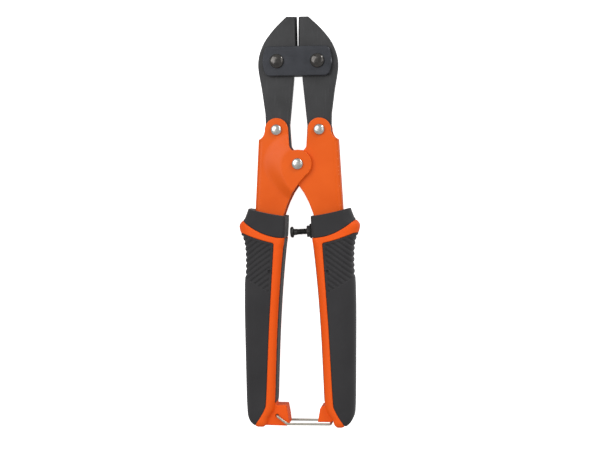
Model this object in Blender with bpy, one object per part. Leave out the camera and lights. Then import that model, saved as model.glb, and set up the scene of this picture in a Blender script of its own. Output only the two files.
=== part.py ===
"""Mini bolt cutters, 210 mm long, lying flat with the jaws toward +Y.

Two forged jaws turn on the rivets of a pair of link plates. Their tails sit in the forks of two
folded steel handle frames. The frames cross on one centre rivet, so that opening the grips draws
the jaw tails together and spreads the cutting edges. A torsion spring pushes the grips apart, a
wire bail on the left grip holds them shut, and a screw on the right grip stops them.

All design dimensions are millimetres from the centre rivet: x across, y toward the jaw tips,
z from the tool's mid-plane. The part's own origin is below the middle of the tool, on the surface
that it lies on. SIDES gives +1 for the right half and -1 for the left.
"""

import math

import bmesh
import bpy
from mathutils import Vector
from mathutils.geometry import tessellate_polygon

MM = 0.001
SIDES = {"left": -1, "right": 1}

# Overall size
TIP_Y = 75.0
END_Y = -135.0
PIVOT_Y = -(TIP_Y + END_Y) / 2
GRIP_HALF = 9.2
MID_Z = GRIP_HALF

# Running fits
GAP = 0.15
PIN_GAP = 0.15
OPEN_PIVOT_GAP = 0.3
ROOM_GAP = 0.25

# Half height of a cutter that goes right through
THROUGH = 12.0

# Linkage
EAR_X = 11.0
EAR_Y = 17.45
LINK_X = 10.37
LINK_Y = 52.35

# Thicknesses, as heights above the mid-plane
JAW_HALF = 3.0
SHEET = 2.0
FORK_IN = JAW_HALF + GAP
FORK_OUT = FORK_IN + SHEET
LOBE_IN = FORK_OUT + GAP
LOBE_OUT = LOBE_IN + SHEET
PLATE_OUT = FORK_IN + 2.4

# Jaws
TIP_FLAT = 5.7
EDGE_FOOT_Y = 56.0
EDGE_FOOT_GAP = 0.11
EDGE_TIP_GAP = 0.4
EDGE_BEVEL = 1.2
EDGE_LAND = 0.25
HEEL_R = LINK_X - 0.12

# Handle frames
EAR_R = 6.0
LOBE_R = 7.2
FRAME_END_Y = -92.0
FLANGE_OUTER = [(24.8, FRAME_END_Y), (22.4, -21.5), (20.5, 12.4)]
SHOULDER = [(18.7, 13.4), (17.5, 15.2)]
FLANGE_INNER_END = [(7.7, -26.0), (12.0, -38.0), (15.2, FRAME_END_Y)]
JOGGLE_FOOT = [(3.75, 7.35), (6.5, 6.6), (10.8, 3.6), (12.4, -1.0), (10.8, -7.8), (6.8, -14.2), (4.5, -17.4)]

# How far out from the joggle's foot its ramp starts and ends, and where the raised lobe starts
RAMP_START = 1.01
RAMP_END = 1.06
LOBE_START = 1.07

# Grips
SKIN = 2.0
BORDER_GAP = 0.15
GRIP_TOP = -30.0
COLLAR_TOP = -20.0
NECK_TOP = -28.6
LUG_HALF = 5.6
STRIP_HALF = 6.0
INNER_ROUND = 4.5
OUTER_ROUND = 6.5

# Cross edges of the grips: y at the inner side, rise toward the outer side, and its power
COLLAR_UPPER = (-26.5, 4.5, 1.3)
COLLAR_LOWER = (-37.6, 8.6, 2.0)
PANEL_TOP = (-41.1, 5.75, 1.6)

# Rivets
LINK_RIVET = {"shank": 2.4, "head": 3.6, "base": PLATE_OUT + GAP, "crown": 7.4}
JAW_RIVET = {"shank": 1.9, "head": 2.8, "base": FORK_OUT + GAP, "crown": 6.9}
CENTER_RIVET = {"shank": 2.2, "head": 2.9, "base": LOBE_OUT + GAP, "crown": 9.0}

# Stop screw: it points at the left grip, square to the right grip's inner side
STOP_Y = -34.6
STOP_TILT = math.radians(3.4)
STOP_HEAD_X = -4.9
STOP_SHANK_R = 1.65
STOP_END_X = 17.6
STOP_BORE = (4.0, 16.0)
STOP_NUT_X = 3.8
STOP_BLOCK_X = 12.6
STOP_BLOCK_LENGTH = 5.0

# Latch bail
WIRE_R = 0.62
BAIL_PIVOT = (-12.0, -129.4)
BAIL_KNEE = (-6.6, -133.5)
BAIL_END = (15.6, -133.4)
BAIL_Z = 6.5
BAIL_BEND = 1.2
BAIL_REACH_IN = 3.4

# Opening spring
SPRING_WIRE_R = 0.55
SPRING_COIL_R = 4.7
SPRING_HALF = 2.3
SPRING_TURNS = 3.5

COLORS = {
    "jaw_steel": ((0.062, 0.062, 0.064), 0.45, 0.8),
    "plate_steel": ((0.055, 0.058, 0.066), 0.38, 0.85),
    "black_rivet": ((0.09, 0.088, 0.085), 0.3, 0.9),
    "zinc_rivet": ((0.62, 0.63, 0.6), 0.25, 1.0),
    "orange_paint": ((0.76, 0.14, 0.035), 0.4, 0.0),
    "orange_plastic": ((0.8, 0.12, 0.02), 0.45, 0.0),
    "black_rubber": ((0.04, 0.038, 0.042), 0.8, 0.0),
    "bail_wire": ((0.65, 0.64, 0.6), 0.25, 1.0),
    "spring_steel": ((0.3, 0.3, 0.3), 0.35, 1.0),
    "black_screw": ((0.035, 0.035, 0.034), 0.4, 0.7),
}


def clear_scene():
    for item in list(bpy.data.objects):
        bpy.data.objects.remove(item, do_unlink=True)


def material(name):
    found = bpy.data.materials.get(name)
    if found:
        return found
    color, roughness, metallic = COLORS[name]
    made = bpy.data.materials.new(name)
    made.use_nodes = True
    shader = made.node_tree.nodes["Principled BSDF"]
    shader.inputs["Base Color"].default_value = (*color, 1)
    shader.inputs["Roughness"].default_value = roughness
    shader.inputs["Metallic"].default_value = metallic
    return made


def world(x, y, z):
    """A design point in the part's own frame, in metres."""
    return Vector((x, y + PIVOT_Y, z + MID_Z)) * MM


# Outlines


def arc(center, radius, start, end, steps):
    """Points on an arc, with its angles in degrees."""
    points = []
    for step in range(steps + 1):
        angle = math.radians(start + (end - start) * step / steps)
        points.append((center[0] + radius * math.cos(angle), center[1] + radius * math.sin(angle)))
    return points


def circle(center, radius, steps=20):
    return arc(center, radius, 0, 360, steps)[:-1]


def smooth(points, steps):
    """A smooth curve through the points (Catmull-Rom), with this many steps between neighbours."""
    ends = [points[0], *points, points[-1]]
    curve = []
    for a, b, c, d in zip(ends, ends[1:], ends[2:], ends[3:]):
        for step in range(steps):
            t = step / steps
            curve.append(
                tuple(
                    0.5 * (2 * q + (r - p) * t + (2 * p - 5 * q + 4 * r - s) * t**2
                           + (3 * q - p - 3 * r + s) * t**3)
                    for p, q, r, s in zip(a, b, c, d)
                )
            )
    return [*curve, points[-1]]


def along(table, y):
    """The value at y in a profile of (y, value) points that runs from the jaws to the grip ends."""
    if y >= table[0][0]:
        return table[0][1]
    for (y0, v0), (y1, v1) in zip(table, table[1:]):
        if y >= y1:
            return v0 + (v1 - v0) * (y0 - y) / (y0 - y1)
    return table[-1][1]


# Solids


def new_object(name, mesh, slot, origin=(0, 0, 0)):
    made = bpy.data.objects.new(name, mesh)
    made.location = world(*origin)
    mesh.materials.append(material(slot))
    bpy.context.scene.collection.objects.link(made)
    mesh.shade_smooth()
    mesh.set_sharp_from_angle(angle=math.radians(30))
    return made


def skinned(name, stations, plans, slot, origin=(0, 0, 0)):
    """A closed solid through stations. Each station is a list of loops of 3D points, the first the
    outline and the rest its holes, and plans holds the same loops flat, for the two end caps."""
    bm = bmesh.new()
    start = Vector(origin)
    rows = []
    for loops in stations:
        rows.append([[bm.verts.new((Vector(p) - start) * MM) for p in loop] for loop in loops])
    for row, following in zip(rows, rows[1:]):
        for loop, other in zip(row, following):
            for i in range(len(loop)):
                j = (i + 1) % len(loop)
                bm.faces.new((loop[i], loop[j], other[j], other[i]))
    for row, plan in ((rows[0], plans[0]), (rows[-1], plans[1])):
        points = [vert for loop in row for vert in loop]
        for triangle in tessellate_polygon([[Vector((*p, 0)) for p in loop] for loop in plan]):
            bm.faces.new([points[i] for i in triangle])
    bmesh.ops.recalc_face_normals(bm, faces=bm.faces)
    mesh = bpy.data.meshes.new(name)
    bm.to_mesh(mesh)
    bm.free()
    return new_object(name, mesh, slot, origin)


def plate(name, layers, holes, slot, origin=(0, 0, 0)):
    """A flat piece: layers of (z, outline) from the lowest to the highest, with holes through all."""
    stations = []
    for z, outline in layers:
        stations.append([[(x, y, z) for x, y in loop] for loop in [outline, *holes]])
    plans = [[layers[0][1], *holes], [layers[-1][1], *holes]]
    return skinned(name, stations, plans, slot, origin)


def turned(name, profile, slot, origin, axis=(0, 0, 1), steps=20):
    """A solid of revolution. The profile holds (radius, height along the axis) and ends at 0 radius,
    or it closes on itself for a ring."""
    aim = Vector(axis).normalized()
    across = aim.orthogonal().normalized()
    other = aim.cross(across)
    bm = bmesh.new()
    rows = []
    for radius, height in profile:
        base = aim * height
        if radius == 0:
            rows.append([bm.verts.new(base * MM)])
            continue
        row = []
        for step in range(steps):
            angle = 2 * math.pi * step / steps
            out = across * math.cos(angle) + other * math.sin(angle)
            row.append(bm.verts.new((base + radius * out) * MM))
        rows.append(row)
    ring = profile[0][0] > 0
    pairs = list(zip(rows, rows[1:]))
    if ring:
        pairs.append((rows[-1], rows[0]))
    for low, high in pairs:
        for i in range(steps):
            j = (i + 1) % steps
            corners = [low[i % len(low)], low[j % len(low)], high[j % len(high)], high[i % len(high)]]
            bm.faces.new(list(dict.fromkeys(corners)))
    bmesh.ops.recalc_face_normals(bm, faces=bm.faces)
    mesh = bpy.data.meshes.new(name)
    bm.to_mesh(mesh)
    bm.free()
    return new_object(name, mesh, slot, origin)


def swept(name, path, radius, slot, origin=(0, 0, 0), resolution=2):
    """A round wire along a path of design points."""
    curve = bpy.data.curves.new(name, "CURVE")
    curve.dimensions = "3D"
    curve.bevel_depth = radius * MM
    curve.bevel_resolution = resolution
    curve.use_fill_caps = True
    spline = curve.splines.new("POLY")
    spline.points.add(len(path) - 1)
    for point, place in zip(spline.points, path):
        point.co = (*((Vector(place) - Vector(origin)) * MM), 1)
    made = bpy.data.objects.new(name, curve)
    made.location = world(*origin)
    curve.materials.append(material(slot))
    bpy.context.scene.collection.objects.link(made)
    return made


def cutter(made):
    made.hide_render = True
    made.display_type = "WIRE"
    return made


def combine(target, operation, other):
    step = target.modifiers.new(operation.lower() + "_" + other.name, "BOOLEAN")
    step.operation = operation
    step.solver = "EXACT"
    step.object = cutter(other)


# Jaws and link


def jaw_outline(bevel):
    """The right jaw's outline. The bevel draws the cutting edge back."""
    back = [(TIP_FLAT, TIP_Y), (12.6, 68.2), (18.0, 60.4), (20.4, 50.8), (18.5, 37.4), (16.9, 25.5)]
    tail = [(16.6, 13.5), (14.6, 8.8), (11.0, 7.0), (5.2, 7.0), (4.0, 8.2)]
    waist = [(4.7, 19.7), (3.4, 32.8), (2.4, 43.3)]
    heel = arc((LINK_X, LINK_Y), HEEL_R, 180 + 38, 180, 5)
    edge = [(EDGE_FOOT_GAP + bevel, EDGE_FOOT_Y), (EDGE_TIP_GAP + bevel, TIP_Y)]
    return [*smooth(back, 3), *tail, *waist, *heel, *edge]


def build_jaw(side):
    sign = SIDES[side]
    layers = []
    for z, bevel in ((-JAW_HALF, EDGE_BEVEL), (-EDGE_LAND, 0), (EDGE_LAND, 0), (JAW_HALF, EDGE_BEVEL)):
        layers.append((z, [(sign * x, y) for x, y in jaw_outline(bevel)]))
    link_gap = OPEN_PIVOT_GAP if side == "right" else PIN_GAP
    holes = [
        circle((sign * LINK_X, LINK_Y), LINK_RIVET["shank"] + link_gap),
        circle((sign * EAR_X, EAR_Y), JAW_RIVET["shank"] + PIN_GAP),
    ]
    plate(side + "_jaw", layers, holes, "jaw_steel", (sign * EAR_X, EAR_Y, 0))


def link_outline():
    """A strap whose ends are shallow arcs between small round corners."""
    reach, corner_x, half_height, corner = 17.8, 15.9, 7.6, 1.2
    bulge = ((corner_x - reach) ** 2 + half_height**2) / (2 * (reach - corner_x))
    swing = math.degrees(math.asin((half_height - corner) / bulge))
    end = arc((reach - bulge, LINK_Y), bulge, -swing, swing, 6)
    low_corner = (corner_x - 0.7 * corner, LINK_Y - half_height)
    right = [low_corner, *end, (low_corner[0], LINK_Y + half_height)]
    return right + [(-x, y) for x, y in reversed(right)]


def build_link_plates():
    holes = [circle((sign * LINK_X, LINK_Y), LINK_RIVET["shank"] + PIN_GAP) for sign in SIDES.values()]
    origin = (-LINK_X, LINK_Y, 0)
    for name, low, high in (
        ("front_link_plate", FORK_IN, PLATE_OUT),
        ("back_link_plate", -PLATE_OUT, -FORK_IN),
    ):
        plate(name, [(low, link_outline()), (high, link_outline())], holes, "plate_steel", origin)


def rivet(name, size, x, y, slot):
    """A shank with a low dome at each end."""
    rise = size["crown"] - size["base"]
    dome = []
    for degrees in (0, 35, 65):
        angle = math.radians(degrees)
        height = size["base"] + rise * (0.25 + 0.75 * math.sin(angle))
        dome.append((size["head"] * math.cos(angle), height))
    upper = [(size["shank"], size["base"]), (size["head"], size["base"]), *dome, (0, size["crown"])]
    lower = [(radius, -height) for radius, height in reversed(upper)]
    turned(name, lower + upper, slot, (x, y, 0))


def build_rivets():
    for side, sign in SIDES.items():
        rivet(side + "_link_rivet", LINK_RIVET, sign * LINK_X, LINK_Y, "black_rivet")
        rivet(side + "_jaw_rivet", JAW_RIVET, sign * EAR_X, EAR_Y, "zinc_rivet")
    rivet("center_pivot_rivet", CENTER_RIVET, 0, 0, "zinc_rivet")


def build_center_spacer():
    bore = CENTER_RIVET["shank"] + PIN_GAP
    wall = [(bore, -JAW_HALF), (3.6, -JAW_HALF), (3.6, JAW_HALF), (bore, JAW_HALF)]
    turned("center_spacer", wall, "zinc_rivet", (0, 0, 0))


def build_spring():
    """A coil round the centre spacer, with a leg down the channel of each handle."""
    steps = round(SPRING_TURNS * 14)
    coil = []
    for step in range(steps + 1):
        share = step / steps
        angle = math.pi + 2 * math.pi * SPRING_TURNS * share
        height = SPRING_HALF * (1 - 2 * share)
        coil.append((SPRING_COIL_R * math.cos(angle), SPRING_COIL_R * math.sin(angle), height))
    left_leg = [(-13.0, -24.0, SPRING_HALF), (-7.4, -10.5, SPRING_HALF), (-5.0, -3.4, SPRING_HALF)]
    right_leg = [(-x, y, -z) for x, y, z in reversed(left_leg)]
    swept("opening_spring", left_leg + coil + right_leg, SPRING_WIRE_R, "spring_steel")


# Handle frames. Both are one stamping: the left one has its raised lobe in front, and the right one
# is turned over. They are drawn here for the right side, whose raised lobe is at the back.


def flange_outline():
    """The right flange, from its end inside the grip round the outer side, the ear and the lobe."""
    inner = [(-0.6, -9.8), (3.0, -15.0), (5.5, -20.0), *FLANGE_INNER_END]
    return [*FLANGE_OUTER, *SHOULDER, *ear_and_slot(), *arc((0, 0), LOBE_R, 69, 235, 14), *inner]


def raised_flange_outline():
    """The right flange on the side where its lobe is raised: it stops at the foot of the joggle."""
    return [*FLANGE_OUTER, *SHOULDER, *ear_and_slot()[:-1], *JOGGLE_FOOT, (5.5, -20.0), *FLANGE_INNER_END]


def ear_and_slot():
    return [*arc((EAR_X, EAR_Y), EAR_R, 0, 180, 12), (4.3, 9.0), (4.1, 8.1), (3.2, 7.0)]


def joggle_line(scale):
    """The foot of the joggle, moved away from the centre rivet."""
    return [(x * scale, y * scale) for x, y in JOGGLE_FOOT]


def lobe_outline():
    """The raised lobe, which reaches a little over the flange that it joins."""
    reach = arc((0, 0), LOBE_R, 235, 69, 14)
    return [*joggle_line(LOBE_START), (3.0, -15.0), (-0.6, -9.8), *reach]


def ramp_outline():
    """The step between the flange and the lobe, where they lie over each other."""
    return [*joggle_line(RAMP_START), *reversed(joggle_line(RAMP_END))]


def build_handle_frame(side):
    """Two flanges joined by the outer web, with a raised lobe on the far or the near one."""
    hole = [circle((EAR_X, EAR_Y), JAW_RIVET["shank"] + PIN_GAP)]
    pivot = circle((0, 0), CENTER_RIVET["shank"] + PIN_GAP)

    def piece(name, outline, holes, low, high):
        """The right frame has this piece as drawn; the left one has it turned over."""
        if side == "left":
            outline = [(-x, y) for x, y in outline]
            holes = [[(-x, y) for x, y in loop] for loop in holes]
            low, high = -high, -low
        return plate(name, [(low, outline), (high, outline)], holes, "orange_paint")

    frame = piece(side + "_handle_frame", flange_outline(), [*hole, pivot], FORK_IN, FORK_OUT)
    web = [*FLANGE_OUTER, *[(x - SHEET, y) for x, y in reversed(FLANGE_OUTER)]]
    raised = piece(side + "_raised_flange", raised_flange_outline(), hole, -FORK_OUT, -FORK_IN)
    ramp = piece(side + "_ramp", ramp_outline(), [], -(LOBE_IN + 0.6), -(FORK_OUT - 0.6))
    lobe = piece(side + "_lobe", lobe_outline(), [pivot], -LOBE_OUT, -LOBE_IN)
    outer_web = piece(side + "_web", web, [], -(FORK_OUT - 0.4), FORK_OUT - 0.4)
    combine(frame, "UNION", outer_web)
    combine(frame, "UNION", raised)
    combine(frame, "UNION", ramp)
    combine(frame, "UNION", lobe)


# Grips, drawn for the right side


OUTER = [(-22, 25.9), (-26.6, 27.5), (-29.6, 28.7), (-30.8, 30.3), (-32.2, 31.0), (-34.3, 30.5),
         (-36.9, 29.65), (-39.4, 28.8), (-44.5, 28.1), (-50, 27.95), (-62, 28.5), (-75, 28.65),
         (-100, 28.4), (-121, 28.1), (-127.5, 27.8), (-130.2, 27.2), (-132.2, 26.2), (-133.8, 24.6),
         (-135, 22.6)]
INNER = [(-22, 6.4), (-29.2, 6.55), (-39.4, 7.2), (-54.8, 8.7), (-70, 9.95), (-90, 11.15), (-111, 12.0),
         (-121, 12.4), (-125.6, 13.2), (-128.5, 14.9), (-130.4, 16.4), (-133.8, 17.7), (-135, 18.6)]
HEIGHT = [(-132.5, GRIP_HALF), (-134.2, GRIP_HALF - 0.6), (-135, GRIP_HALF - 1.6)]


def grip_section(y, inset):
    """The right grip's section at y, a rectangle with round corners, drawn in by the inset."""
    inner = along(INNER, y) + inset
    outer = along(OUTER, y) - inset
    height = along(HEIGHT, y) - inset
    width = outer - inner
    small = min(INNER_ROUND - 0.6 * inset, 0.3 * width)
    large = min(OUTER_ROUND - 0.6 * inset, 0.45 * width)
    section = []
    for x, sz, radius, start in (
        (outer, 1, large, 0),
        (inner, 1, small, 90),
        (inner, -1, small, 180),
        (outer, -1, large, 270),
    ):
        toward = -1 if x == outer else 1
        center = (x + toward * radius, sz * (height - radius))
        section += arc(center, radius, start, start + 90, 4)
    return section


def grip_solid(name, side, inset, top, slot="orange_plastic"):
    """The whole grip from the top down to its end, drawn in by the inset."""
    sign = SIDES[side]
    bottom = END_Y + inset
    levels = [top] + [y for y, _ in OUTER if bottom + 0.4 < y < top - 0.4] + [bottom]
    sections = [grip_section(y, inset) for y in levels]
    stations = [[[(sign * x, y, z) for x, z in section]] for y, section in zip(levels, sections)]
    return skinned(name, stations, [[sections[0]], [sections[-1]]], slot)


def prism(name, side, outline, half_height):
    sign = SIDES[side]
    flat = [(sign * x, y) for x, y in outline]
    return plate(name, [(-half_height, flat), (half_height, flat)], [], "orange_plastic")


def sweep_edge(shape, steps=8):
    """A cross edge of the grip, from its inner side out, which rises toward the outer side."""
    base, rise, power = shape
    edge = []
    for step in range(steps + 1):
        share = step / steps
        x = 7.0 + 25.0 * share
        across = max(0.0, min(1.0, (x - 7.0) / 21.6))
        edge.append((x, base + rise * across**power))
    return [(2.0, base), *edge]


def panel_region(clearance):
    """Where the ribbed panel lies: outside the stripe's border and below the orange band."""
    border = [(24.4, -137), (22.8, -133.6), (20.3, -129.7), (18.2, -125.8), (17.3, -121.5), (16.3, -101)]
    border.append((15.2, -80))
    border += [(12.6, PANEL_TOP[0] + 0.2)]
    top = [point for point in sweep_edge(PANEL_TOP) if point[0] > 13.5]
    region = [*border, *top, (36, -34), (36, -137)]
    return [(x - clearance, y + clearance) for x, y in region]


def strip_region(clearance):
    """Where the dark strip lies on the inner side, from the band to the end lug."""
    top = COLLAR_LOWER[0] - 0.5 + clearance
    foot = -122.6 - clearance
    return [(2, top), (11.0, top), (11.6, -54), (14.0, -90), (15.5, foot), (2, foot)]


def collar_region(drop):
    """Everything above the collar's lower edge, moved down by the drop."""
    lower = [(x, y - drop) for x, y in sweep_edge(COLLAR_LOWER)]
    return [*lower, (40, -10), (2, -10)]


def collar_body_region():
    """The collar, between its lower and its upper edge."""
    upper = sweep_edge(COLLAR_UPPER)
    return [*sweep_edge(COLLAR_LOWER), *reversed(upper)]


def frame_room():
    """The space that the handle frame takes inside the grip, with its clearance."""
    gap = ROOM_GAP
    return [(24.8 + gap, FRAME_END_Y - 1), (22.4 + gap, -21.5), (22.4 + gap, -15), (3, -15), (5.5 - gap, -20),
            (7.7 - gap, -26), (12 - gap, -38), (15.2 - gap, FRAME_END_Y - 1)]


def stop_bore(name):
    """A round cutter along the stop screw's axis."""
    start, end = STOP_BORE
    radius = STOP_SHANK_R + ROOM_GAP
    length = end - start
    profile = [(0, 0), (radius, 0), (radius, length), (0, length)]
    return turned(name, profile, "black_screw", stop_point(start), stop_axis())


def stop_axis():
    return (math.cos(STOP_TILT), math.sin(STOP_TILT), 0)


def stop_point(x):
    """The point of the stop screw's axis at x."""
    return (x, STOP_Y + (x - 5.0) * math.tan(STOP_TILT), 0)


def lug_outline(side):
    if side == "left":
        return [(7.2, -124.0), (17.6, -124.0), (20.5, -129), (20.5, -133.6), (18.6, -134.4), (7.0, -134.6),
                (5.8, -133.6), (6.3, -129)]
    return [(11.0, -124.2), (17.6, -124.2), (20.5, -129), (20.5, -132.5), (9.0, -132.5), (9.6, -129),
            (10.2, -125.6)]


def bail_pocket(name, side):
    """The right grip's pocket, which lets the latched bail stay put while the handles close."""
    outline = [(16.2, -137), (16.2, -131.9), (19.0, -131.75), (23.4, -131.3), (23.4, -137)]
    return prism(name, side, outline, BAIL_Z + WIRE_R + ROOM_GAP)


def build_grip_core(side):
    core = grip_solid(side + "_grip_core", side, 0, GRIP_TOP)
    combine(core, "DIFFERENCE", prism(side + "_collar_room", side, collar_region(BORDER_GAP), THROUGH))
    combine(core, "DIFFERENCE", prism(side + "_panel_room", side, panel_region(BORDER_GAP), THROUGH))
    combine(core, "DIFFERENCE", prism(side + "_strip_room", side, strip_region(BORDER_GAP), STRIP_HALF + GAP))
    combine(core, "UNION", grip_solid(side + "_inner_body", side, SKIN + GAP, NECK_TOP))
    combine(core, "UNION", prism(side + "_lug", side, lug_outline(side), LUG_HALF))
    combine(core, "DIFFERENCE", prism(side + "_frame_pocket", side, frame_room(), FORK_OUT + ROOM_GAP))
    if side == "left":
        radius = WIRE_R + ROOM_GAP
        pin = [(0, -THROUGH), (radius, -THROUGH), (radius, THROUGH), (0, THROUGH)]
        combine(core, "DIFFERENCE", turned("bail_hole", pin, "orange_plastic", (*BAIL_PIVOT, 0), steps=12))
    else:
        combine(core, "DIFFERENCE", stop_bore("core_stop_bore"))
        combine(core, "DIFFERENCE", bail_pocket("core_bail_pocket", side))


def build_grip_collar(side):
    collar = grip_solid(side + "_grip_collar", side, 0, COLLAR_TOP, "black_rubber")
    combine(collar, "INTERSECT", prism(side + "_collar_shape", side, collar_body_region(), THROUGH))
    combine(collar, "DIFFERENCE", grip_solid(side + "_neck_room", side, SKIN, NECK_TOP + 0.2))
    combine(collar, "DIFFERENCE", prism(side + "_frame_mouth", side, frame_room(), FORK_OUT + ROOM_GAP))
    if side == "right":
        combine(collar, "DIFFERENCE", stop_bore("collar_stop_bore"))


def build_grip_panel(side):
    panel = grip_solid(side + "_grip_panel", side, 0, GRIP_TOP, "black_rubber")
    combine(panel, "INTERSECT", prism(side + "_panel_shape", side, panel_region(0), THROUGH))
    combine(panel, "DIFFERENCE", grip_solid(side + "_panel_core", side, SKIN, NECK_TOP))
    if side == "right":
        combine(panel, "DIFFERENCE", bail_pocket("panel_bail_pocket", side))


def build_grip_strip(side):
    strip = grip_solid(side + "_grip_inner_strip", side, 0, GRIP_TOP, "black_rubber")
    combine(strip, "INTERSECT", prism(side + "_strip_shape", side, strip_region(0), STRIP_HALF))
    combine(strip, "DIFFERENCE", grip_solid(side + "_strip_core", side, SKIN, NECK_TOP))


# Stop screw and latch


def build_stop():
    """The stop screw with its mushroom head, its flanged nut and the threaded block behind it."""
    aim = stop_axis()
    length = STOP_END_X - STOP_HEAD_X
    screw = [(0, 0), (2.2, 0), (2.85, 0.7), (2.85, 1.4), (1.65, 2.1), (STOP_SHANK_R, length), (0, length)]
    turned("stop_screw", screw, "black_screw", stop_point(STOP_HEAD_X), aim, 16)
    bore = STOP_SHANK_R + GAP
    nut = [(bore, 0), (3.0, 0), (3.3, 0.5), (3.3, 1.4), (3.8, 1.5), (3.8, 2.3), (bore, 2.3)]
    turned("stop_lock_nut", nut, "black_screw", stop_point(STOP_NUT_X), aim, 16)
    block = [(bore, 0), (2.9, 0), (2.9, STOP_BLOCK_LENGTH), (bore, STOP_BLOCK_LENGTH)]
    turned("stop_threaded_block", block, "zinc_rivet", stop_point(STOP_BLOCK_X), aim, 16)


def bend(a, corner, b, radius, steps=4):
    """A round bend at a corner of a wire, from the run that comes from a to the run that goes to b."""
    corner = Vector(corner)
    back = (Vector(a) - corner).normalized()
    ahead = (Vector(b) - corner).normalized()
    points = []
    for step in range(steps + 1):
        t = step / steps
        points.append(tuple(corner + radius * ((1 - t) ** 2 * back + t**2 * ahead)))
    return points


def build_latch_bail():
    """One bent wire: its ends turn in the left lug, and its crossbar hooks below the right one."""
    corners = [(*BAIL_PIVOT, BAIL_REACH_IN), (*BAIL_PIVOT, BAIL_Z), (*BAIL_KNEE, BAIL_Z), (*BAIL_END, BAIL_Z)]
    corners += [(x, y, -z) for x, y, z in reversed(corners)]
    path = [corners[0]]
    for before, corner, after in zip(corners, corners[1:], corners[2:]):
        path += bend(before, corner, after, BAIL_BEND)
    path.append(corners[-1])
    swept("latch_bail", path, WIRE_R, "bail_wire", (*BAIL_PIVOT, 0))


def main():
    clear_scene()
    build_link_plates()
    build_rivets()
    build_center_spacer()
    build_spring()
    for side in SIDES:
        build_jaw(side)
        build_handle_frame(side)
        build_grip_core(side)
        build_grip_collar(side)
        build_grip_panel(side)
        build_grip_strip(side)
    build_stop()
    build_latch_bail()


main()
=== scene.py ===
"""Looks of the mini bolt cutters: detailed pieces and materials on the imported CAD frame.

Shapes are given in millimetres from the centre rivet: x across, y toward the jaw tips, z from the
mid-plane of the tool. Most pieces are drawn for the right side, and SIDES turns them to the left.
"""

import math

import bmesh
import bpy
from mathutils import Matrix, Vector
from mathutils.geometry import tessellate_polygon


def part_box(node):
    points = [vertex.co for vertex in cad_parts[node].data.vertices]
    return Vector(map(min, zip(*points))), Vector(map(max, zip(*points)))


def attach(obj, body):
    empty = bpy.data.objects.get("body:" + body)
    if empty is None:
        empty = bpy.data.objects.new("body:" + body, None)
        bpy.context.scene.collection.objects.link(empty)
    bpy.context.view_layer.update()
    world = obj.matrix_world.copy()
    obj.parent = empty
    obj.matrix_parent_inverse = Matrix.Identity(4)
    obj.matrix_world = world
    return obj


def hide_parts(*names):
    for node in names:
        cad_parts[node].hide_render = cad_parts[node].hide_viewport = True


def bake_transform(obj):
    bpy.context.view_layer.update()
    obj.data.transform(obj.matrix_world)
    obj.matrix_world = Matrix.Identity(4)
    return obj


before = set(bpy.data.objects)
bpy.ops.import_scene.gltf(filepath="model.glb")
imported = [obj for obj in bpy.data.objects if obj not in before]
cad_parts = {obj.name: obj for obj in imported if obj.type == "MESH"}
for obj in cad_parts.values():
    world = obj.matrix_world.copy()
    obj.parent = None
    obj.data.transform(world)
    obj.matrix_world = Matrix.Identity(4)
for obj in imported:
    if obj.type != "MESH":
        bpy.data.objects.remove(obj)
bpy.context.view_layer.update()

MM = 0.001
SIDES = {"left": -1, "right": 1}


def middle(node):
    low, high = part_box(node)
    return (low + high) / 2


PIVOT = middle("center_pivot_rivet")


def from_pivot(point):
    """A point of the frame, in millimetres from the centre rivet."""
    return (Vector(point) - PIVOT) / MM


def top_of(node):
    return from_pivot(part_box(node)[1]).z


# Sizes read from the frame
EAR = from_pivot(middle("right_jaw_rivet"))
LINK = from_pivot(middle("right_link_rivet"))
TIP_Y = from_pivot(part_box("right_jaw")[1]).y
END_Y = from_pivot(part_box("right_grip_core")[0]).y
JAW_HALF = top_of("left_jaw")
PLATE_OUT = top_of("front_link_plate")
GRIP_HALF = top_of("left_grip_panel")

# Clearances: between neighbouring pieces, round the frame and the wire inside the grip's core,
# and round the frame inside the collar
GAP = 0.15
ROOM_GAP = 0.25
SLEEVE_GAP = 0.12

# Half height of a cutter that goes right through the tool
THROUGH = 12.0

# Handle sheet: the inner and outer faces of the fork and of the raised lobe, and its round parts
SHEET = 2.0
FORK_IN = JAW_HALF + GAP
FORK_OUT = FORK_IN + SHEET
LOBE_IN = FORK_OUT + GAP
LOBE_OUT = LOBE_IN + SHEET
EAR_R = 6.0
LOBE_R = 7.2
FOLD_R = 2.4
CENTER_BORE = 2.35
EAR_BORE = 2.05

# Holes for the link rivets and for the jaw's own rivet
JAW_LINK_BORE = 2.6
JAW_EAR_BORE = 2.1
STRAP_BORE = 2.55

# Grips: thickness of the soft skin, and the y where each solid begins
SKIN = 2.0
CORE_TOP = -28.2
NECK_TOP = -28.6
COLLAR_TOP = -20.0
PAD_TOP = -30.0

# Half heights of the inner strip and of the end lug, and the spacing of the sections along a grip
STRIP_HALF = 6.0
LUG_HALF = 5.6
SECTION_SPACING = 1.25

# Cross edges of the grips: y at the inner side, rise toward the outer side, and its power
COLLAR_UPPER = (-26.5, 4.5, 1.3)
COLLAR_LOWER = (-37.6, 8.9, 2.1)
PANEL_TOP = (-41.1, 5.75, 1.6)

# Their rise begins at this x and is complete after the span. The curve is drawn a little further
SWEEP_INNER_X = 2.0
SWEEP_START = 7.0
SWEEP_SPAN = 21.6
SWEEP_LENGTH = 25.0
SWEEP_STEPS = 24

# Skins: voxel size and rounds of smoothing
SHEET_SKIN = (0.22, 5)
MOULDED_SKIN = (0.26, 3)
SOFT_SKIN = (0.24, 4)

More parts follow.
